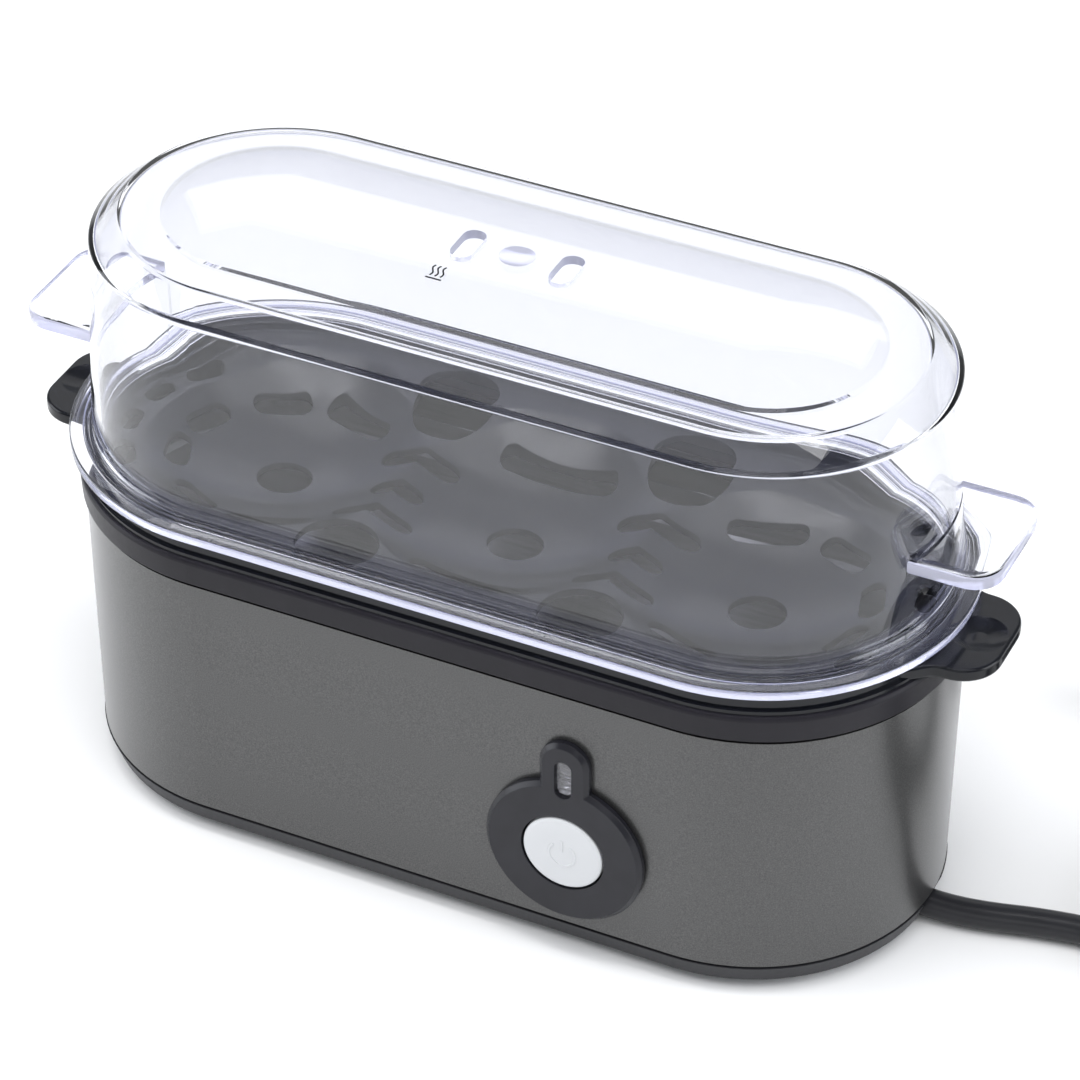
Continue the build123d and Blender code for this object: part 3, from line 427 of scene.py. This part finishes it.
def apply_boolean(target, bm, operation):
    """Join a closed bmesh to the target, or cut it away."""
    bmesh.ops.recalc_face_normals(bm, faces=bm.faces)
    data = bpy.data.meshes.new("cutter")
    bm.to_mesh(data)
    bm.free()
    cutter = bpy.data.objects.new("cutter", data)
    bpy.context.scene.collection.objects.link(cutter)
    modifier = target.modifiers.new("boolean", "BOOLEAN")
    modifier.operation, modifier.object, modifier.solver = operation, cutter, "EXACT"
    modifier.material_mode = "INDEX"
    bpy.context.view_layer.objects.active = target
    bpy.ops.object.modifier_apply(modifier=modifier.name)
    bpy.data.objects.remove(cutter)
    bpy.data.meshes.remove(data)


# ---- clear lid ----------------------------------------------------------------------------------------
CROWN_RISE = 3.7  # the panel's middle line stands this far above its edge
PANEL_R, PANEL_Z = 23.6, 134.3
CROWN_R = (PANEL_R**2 + CROWN_RISE**2) / (2 * CROWN_RISE)
LID_THICK = 2.0
WALL_R, WALL_LOW = 40.4, 82.4  # the wall's outside, and the height of its foot
TAB_TOP, TAB_THICK, TAB_HALF, TAB_OUT, TAB_ROOT_R, TAB_CORNER = 102.0, 2.8, 15.0, 108.5, 38.7, 6.5
VENT_X, VENT_L, VENT_W = 10.8, 10.5, 4.8
DIMPLE_R, DIMPLE_Z = 9.4, 146.6  # the ball that presses the dimple, and the height of its middle
PAINTED_EDGE_HIGHLIGHT = 1  # index of the milky violet material on cut and moulded edges, a painted highlight for the light that clear edges catch


def panel_height(y, drop=0.0):
    """Height of the panel's top, or of its underside, at a distance from its middle line."""
    return PANEL_Z + CROWN_RISE - drop - CROWN_R + math.sqrt(CROWN_R**2 - y**2)


def wall_radius(z):
    """The wall's outside radius at a height: it leans in towards the top."""
    return WALL_R - 2.0 * (z - WALL_LOW) / 46.8


def lid_outline():
    """The lid's section from the inside of its top, down, round the flange and up to the top outside."""
    steps = (0, 3, 6, 10, 14, 18, 21)
    inner_top = [(y, panel_height(y, LID_THICK)) for y in steps]
    outer_top = [(y, panel_height(y)) for y in reversed(steps)]
    inner = rounded([(21, panel_height(21, LID_THICK), 0), (PANEL_R, PANEL_Z - LID_THICK, 0.8),
                     (31.4, 132.2, 1.5),
                     (36.4, 127.9, 1.5), (38.3, 84, 0), (38.4, 78.2, 0.5)])
    flange = rounded([(38.4, 84, 0), (38.4, 78.2, 0.5), (39.9, 78.2, 0.4), (39.9, 80.25, 0),
                      (41.4, 80.25, 0.1),
                      (41.5, 81.1, 0.1), (41.9, 81.2, 0.1), (44.7, 80.25, 0.1), (45.1, 80.3, 0.15),
                      (45.1, 82.4, 0.55), (42.2, 82.4, 0.3), (41.95, 82.1, 0.1), (41.55, 82.1, 0.1),
                      (41.4, 82.45, 0.12), (41.0, 82.45, 0.1), (40.9, 82.25, 0.1), (40.4, 82.4, 0.4),
                      (40.25, 86, 0)])
    wall = [(wall_radius(z), z) for z in (92, 98, 103, 110, 120)]
    shoulder = rounded([(wall[-1][0], wall[-1][1], 0), (38.4, 129.2, 0.9), (32.2, 134.1, 0.7),
                        (PANEL_R, PANEL_Z, 0.5), (21, panel_height(21), 0)])
    return inner_top + inner[1:-4] + flange[1:] + wall + shoulder[1:] + outer_top[1:]


def tab_loop(inset, z):
    """One outline of the right-hand tab, inset from its edge."""
    points = []
    reach = math.asin((TAB_HALF - inset) / TAB_ROOT_R)
    for step in range(13):
        angle = reach * (1 - 2 * step / 12)
        points.append((END_X + TAB_ROOT_R * math.cos(angle), TAB_ROOT_R * math.sin(angle)))
    radius = TAB_CORNER - inset
    for side, first in ((-1, -90), (1, 0)):
        for step in range(9):
            angle = math.radians(first + 90 * step / 8)
            points.append((TAB_OUT - TAB_CORNER + radius * math.cos(angle),
                           side * (TAB_HALF - TAB_CORNER) + radius * math.sin(angle)))
    return [(MM * x, MM * y, MM * z) for x, y in points]


def tab_solid(turned):
    """A tab with rounded edges and a shallow dish inside its rim."""
    top, low = TAB_TOP, TAB_TOP - TAB_THICK
    levels = [(0.55, low), (0.16, low + 0.16), (0, low + 0.55), (0, top - 0.5), (0.15, top - 0.15),
              (0.5, top), (1.5, top), (2.0, top - 0.15), (3.2, top - 0.55)]
    bm = bmesh.new()
    rows = loft(bm, [tab_loop(*level) for level in levels])
    rim = {v for row in rows[1:6] for v in row}
    # The tab's rounded rim faces take the milky violet edge material, a painted highlight.
    for face in bm.faces:
        face.material_index = PAINTED_EDGE_HIGHLIGHT if all(v in rim for v in face.verts) else 0
    bm.faces.new(rows[0])
    bm.faces.new(rows[-1])
    if turned:
        bmesh.ops.rotate(bm, verts=bm.verts, cent=(0, 0, 0), matrix=Matrix.Rotation(math.pi, 3, "Z"))
    return bm


def moulding_line(side, y_side):
    """A fine raised line down the lid's wall, from under a tab's corner to the flange."""
    bm = bmesh.new()
    loops = []
    for z in (82.3, 99.6):
        radius = wall_radius(z)
        angle = math.asin(TAB_HALF / radius)
        loop = []
        for offset, out in ((-0.006, -0.3), (-0.004, 0.09), (0.004, 0.09), (0.006, -0.3)):
            a, r = angle + offset, radius + out
            loop.append((MM * side * (END_X + r * math.cos(a)), MM * y_side * r * math.sin(a), MM * z))
        loops.append(loop)
    capped_loft(bm, loops)
    return bm


def obround_outline(x, y, length, width, steps=12):
    """An upright obround (along Y), as (x, y) points in millimetres."""
    reach = (length - width) / 2
    points = []
    for side, first in ((1, 0), (-1, 180)):
        for step in range(steps + 1):
            angle = math.radians(first + 180 * step / steps)
            points.append((x + width / 2 * math.cos(angle), y + side * reach + width / 2 * math.sin(angle)))
    return points


def add_lid():
    """The lid: a swept dome and flange, two dished tabs, two vents and a dimple."""
    bm = bmesh.new()
    loft(bm, [obround_loop(r, z) for r, z in lid_outline()])
    tidy_up(bm)
    lid = add_piece("clear_lid", bm, "lid_clear", "lid", ("lid",))
    # Second slot: the milky violet edge material, a painted highlight.
    lid.data.materials.append(MATERIALS["lid_edge_painted_highlight"])
    for turned in (False, True):
        apply_boolean(lid, tab_solid(turned), "UNION")
        for y_side in (-1, 1):
            apply_boolean(lid, moulding_line(-1 if turned else 1, y_side), "UNION")
    dimple = bmesh.new()
    bmesh.ops.create_uvsphere(dimple, u_segments=64, v_segments=64, radius=DIMPLE_R * MM,
                              matrix=Matrix.Translation((0, 0, DIMPLE_Z * MM)))
    vents = [solid_prism(obround_outline(x, 0, VENT_L, VENT_W), 130, 140) for x in (-VENT_X, VENT_X)]
    for cutter in (*vents, dimple):
        # The cut faces of the vents and the dimple take the milky violet edge material, a painted
        # highlight.
        for face in cutter.faces:
            face.material_index = PAINTED_EDGE_HIGHLIGHT
        apply_boolean(lid, cutter, "DIFFERENCE")
    smooth(lid, 24)


add_lid()


# ---- steam mark by the vents --------------------------------------------------------------------------
def add_steam_mark():
    """Three rising waves over a short bar, thin on the lid's panel: generic, with no lettering."""
    bm = bmesh.new()

    def stroke(points, width):
        rows = []
        for index, (x, y) in enumerate(points):
            before = points[max(0, index - 1)]
            after = points[min(len(points) - 1, index + 1)]
            along = Vector((after[0] - before[0], after[1] - before[1])).normalized()
            across = Vector((-along.y, along.x)) * width / 2
            loop = []
            for side, lift in ((-1, 0.01), (-1, 0.05), (1, 0.05), (1, 0.01)):
                px, py = x + side * across.x, y + side * across.y
                loop.append((MM * px, MM * py, MM * (panel_height(py) + lift)))
            rows.append(loop)
        capped_loft(bm, rows)

    centre_x, low_y, line_width = -12.2, -12.9, 0.34
    for offset in (-1.15, 0, 1.15):
        stroke([(centre_x + offset + 0.32 * math.sin(2 * math.pi * t / 20), low_y + 0.7 + 3.1 * t / 20)
                for t in range(21)], line_width)
    stroke([(centre_x - 1.75 + 3.5 * t / 8, low_y) for t in range(9)], line_width)
    add_piece("steam_mark", bm, "mark_ink", "lid")


add_steam_mark()


# ---- power button -------------------------------------------------------------------------------------
def add_button():
    """A slightly domed round button with a raised ring-and-bar power symbol."""
    bm = bmesh.new()
    x0, z0 = BUTTON.x / MM, BUTTON.z / MM
    face, back = button_low.y / MM + 0.25, button_high.y / MM
    radius = (button_high.x - button_low.x) / 2 / MM
    profile = [(0, back), (radius - 0.4, back), (radius, back), (radius, face + 0.85),
               (radius - 0.14, face + 0.42), (radius - 0.5, face + 0.14), (radius - 1.0, face + 0.04),
               (radius - 2.5, face - 0.04), (radius - 5, face - 0.08), (0, face - 0.1)]

    def turned(r, y, steps=96):
        return [(MM * (x0 + r * math.cos(2 * math.pi * s / steps)), MM * y,
                 MM * (z0 + r * math.sin(2 * math.pi * s / steps))) for s in range(steps)]

    loft(bm, [turned(r, y) for r, y in profile])
    tidy_up(bm)
    add_piece("button_cap", bm, "button_white", "button", ("power_button",))

    mark = bmesh.new()

    def raised(points, width=0.62, height=0.16):
        rows = []
        for index, (x, z) in enumerate(points):
            before = points[max(0, index - 1)]
            after = points[min(len(points) - 1, index + 1)]
            along = Vector((after[0] - before[0], after[1] - before[1])).normalized()
            across = Vector((-along.y, along.x))
            loop = []
            for side, lift in ((-0.5, -0.1), (-0.5, 0.3), (-0.36, 1), (0.36, 1), (0.5, 0.3), (0.5, -0.1)):
                px, pz = x + side * width * across.x, z + side * width * across.y
                loop.append((MM * (x0 + px), MM * (face - 0.08 - lift * height), MM * (z0 + pz)))
            rows.append(loop)
        capped_loft(mark, rows)

    ring_r = 2.9
    raised([(ring_r * math.sin(math.radians(a)), ring_r * math.cos(math.radians(a)) - 0.2)
            for a in range(38, 323, 6)])
    raised([(0, 0.6 + 0.4 * s) for s in range(8)])
    add_piece("button_symbol", mark, "button_white", "button")


add_button()


# ---- ribbed lamp window -------------------------------------------------------------------------------
def add_window():
    """A clear obround lens with level ribs across its face."""
    bm = bmesh.new()
    centre_x = (window_low.x + window_high.x) / 2
    half = (window_high.x - window_low.x) / 2
    low, high = window_low.z, window_high.z
    face, back = window_low.y, window_high.y
    rows_front, rows_back = [], []
    rows, columns, ribs, rib_depth = 96, 8, 7, 0.45 * MM
    for row in range(rows + 1):
        t = row / rows
        z = low + (high - low) * (1 - math.cos(math.pi * t)) / 2
        near_end = max(0.0, low + half - z, z - (high - half))
        width = math.sqrt(max(0.0, half**2 - near_end**2)) + 1e-5
        edge = min(1.0, min(z - low, high - z) / (0.6 * MM))
        wave = 0.5 - 0.5 * math.cos(2 * math.pi * ribs * (z - low) / (high - low))
        front, rear = [], []
        for column in range(columns + 1):
            s = -1 + 2 * column / columns
            x = centre_x + width * s
            inside = min(1.0, (1 - abs(s)) * 4) * edge
            front.append(bm.verts.new((x, face + rib_depth - rib_depth * wave * inside, z)))
            rear.append(bm.verts.new((x, back, z)))
        rows_front.append(front)
        rows_back.append(rear)
    for grid in (rows_front, rows_back):
        for a, b in zip(grid, grid[1:]):
            for i in range(columns):
                bm.faces.new((a[i], a[i + 1], b[i + 1], b[i]))
    for i in (0, columns):
        for k in range(rows):
            bm.faces.new((rows_front[k][i], rows_front[k + 1][i], rows_back[k + 1][i], rows_back[k][i]))
    for k in (0, rows):
        for i in range(columns):
            bm.faces.new((rows_front[k][i], rows_front[k][i + 1], rows_back[k][i + 1], rows_back[k][i]))
    add_piece("window_lens", bm, "window_clear", "base", ("lamp_window",), angle=40)


add_window()


# ---- stage --------------------------------------------------------------------------------------------
def area_light(name, place, aim, size, power, colour=(1, 1, 1), in_gloss=True):
    """A soft box that faces its aim; in_gloss says whether glossy faces mirror it."""
    data = bpy.data.lights.new(name, "AREA")
    data.shape = "RECTANGLE"
    data.size, data.size_y = size
    data.energy = power
    data.color = colour
    light = bpy.data.objects.new(name, data)
    light.location = place
    light.rotation_euler = (Vector(aim) - Vector(place)).to_track_quat("-Z", "Y").to_euler()
    light.visible_glossy = in_gloss
    bpy.context.scene.collection.objects.link(light)


def add_stage():
    """A white floor, a pale room with a white backdrop, and soft boxes."""
    bpy.ops.mesh.primitive_plane_add(size=6.0, location=(0, 0, 0))
    floor = bpy.context.object
    floor.name = "floor"
    material, nodes, links, shader = new_material("floor_white")
    shader.inputs["Base Color"].default_value = (0.93, 0.93, 0.93, 1)
    shader.inputs["Roughness"].default_value = 0.9
    shader.inputs["Specular IOR Level"].default_value = 0.1
    floor.data.materials.append(material)
    world = bpy.data.worlds.new("room")
    world.use_nodes = True
    nodes, links = world.node_tree.nodes, world.node_tree.links
    room = nodes["Background"]
    room.inputs["Color"].default_value = (0.9, 0.94, 1, 1)
    room.inputs["Strength"].default_value = 0.33
    through = nodes.new("ShaderNodeBackground")
    through.inputs["Color"].default_value = (0.55, 0.58, 0.84, 1)
    through.inputs["Strength"].default_value = 0.8
    backdrop = nodes.new("ShaderNodeBackground")
    backdrop.inputs["Color"].default_value = (1, 1, 1, 1)
    backdrop.inputs["Strength"].default_value = 1.0
    path, mix, seen = (nodes.new("ShaderNodeLightPath"), nodes.new("ShaderNodeMixShader"),
                       nodes.new("ShaderNodeMixShader"))
    links.new(path.outputs["Is Transmission Ray"], mix.inputs["Fac"])
    links.new(room.outputs["Background"], mix.inputs[1])
    links.new(through.outputs["Background"], mix.inputs[2])
    links.new(path.outputs["Is Camera Ray"], seen.inputs["Fac"])
    links.new(mix.outputs["Shader"], seen.inputs[1])
    links.new(backdrop.outputs["Background"], seen.inputs[2])
    links.new(seen.outputs["Shader"], nodes["World Output"].inputs["Surface"])
    bpy.context.scene.world = world
    area_light("top_box", (0.0, -0.45, 1.7), (0, -0.25, 0.0), (2.4, 1.8), 31.0, in_gloss=False)
    area_light("back_box", (-0.8, 1.9, 1.5), (0, 0.1, 0.1), (1.9, 1.1), 5.0)
    area_light("strip_light", (0.0, -0.25, 1.5), (0, 0, 0.1), (1.7, 0.16), 4.5)
    area_light("left_box", (-1.6, -0.45, 0.6), (0, 0, 0.06), (1.2, 1.3), 15.0, (0.92, 0.95, 1))
    area_light("right_box", (1.6, 0.25, 0.6), (0, 0, 0.06), (1.2, 1.3), 18.0, (0.92, 0.95, 1))
    area_light("front_box", (0.6, -2.0, 1.0), (0, 0, 0.06), (1.6, 0.9), 5.0)


add_stage()
scene = bpy.context.scene
scene.view_settings.view_transform = "Standard"
